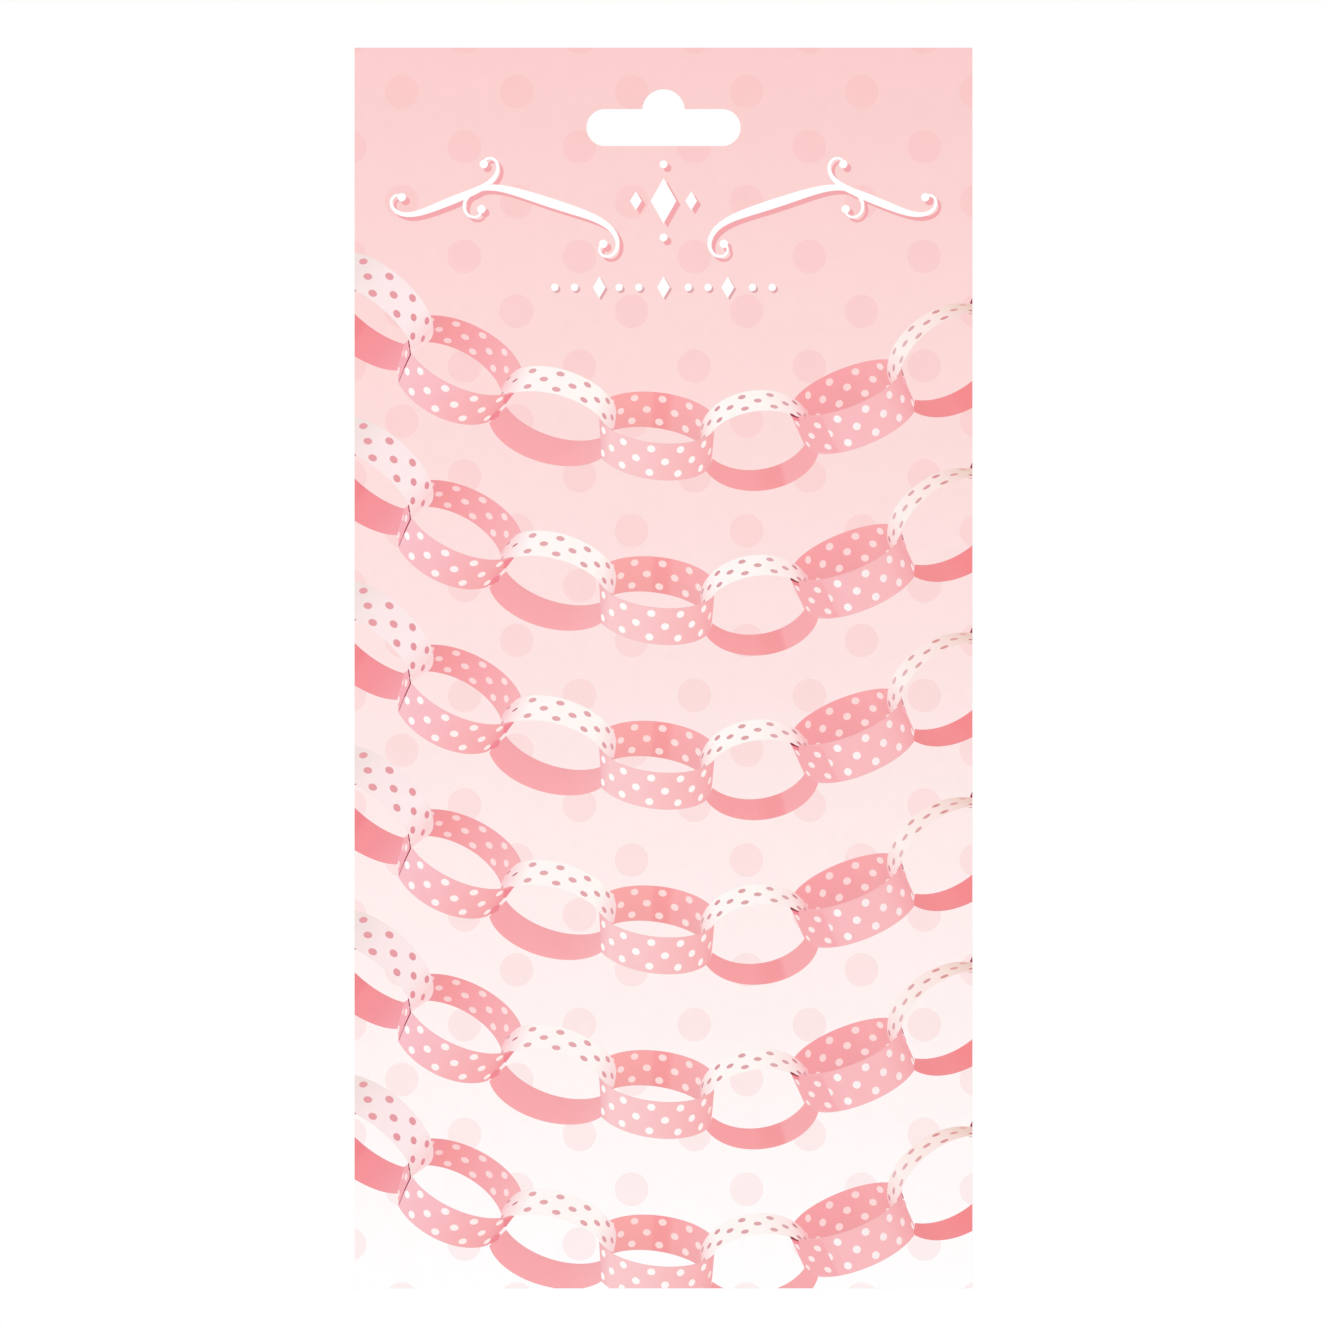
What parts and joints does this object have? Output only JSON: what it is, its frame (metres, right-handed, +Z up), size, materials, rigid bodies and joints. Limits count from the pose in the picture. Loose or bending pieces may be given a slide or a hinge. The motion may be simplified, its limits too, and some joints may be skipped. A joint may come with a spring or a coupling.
{
  "type": "printed hanging card",
  "caption": "Tall flat card with a crowned hang slot near its top edge, printed on its face with swags of dotted paper chain on a pale ground.",
  "frame": {"origin": "crown of the hang slot, halfway through the board, where a rail's hook carries the card", "axes": "+X along the card's width, to the right as the print is read, +Z up along its height, -Y out of the printed face"},
  "size_m": [0.125, 0.0006, 0.251],
  "materials": {
    "printed_board": "satin print on the face, bare white board on the edges and the back"
  },
  "bodies": {
    "root": {"hanging_card": "printed_board"}
  },
  "joints": []
}
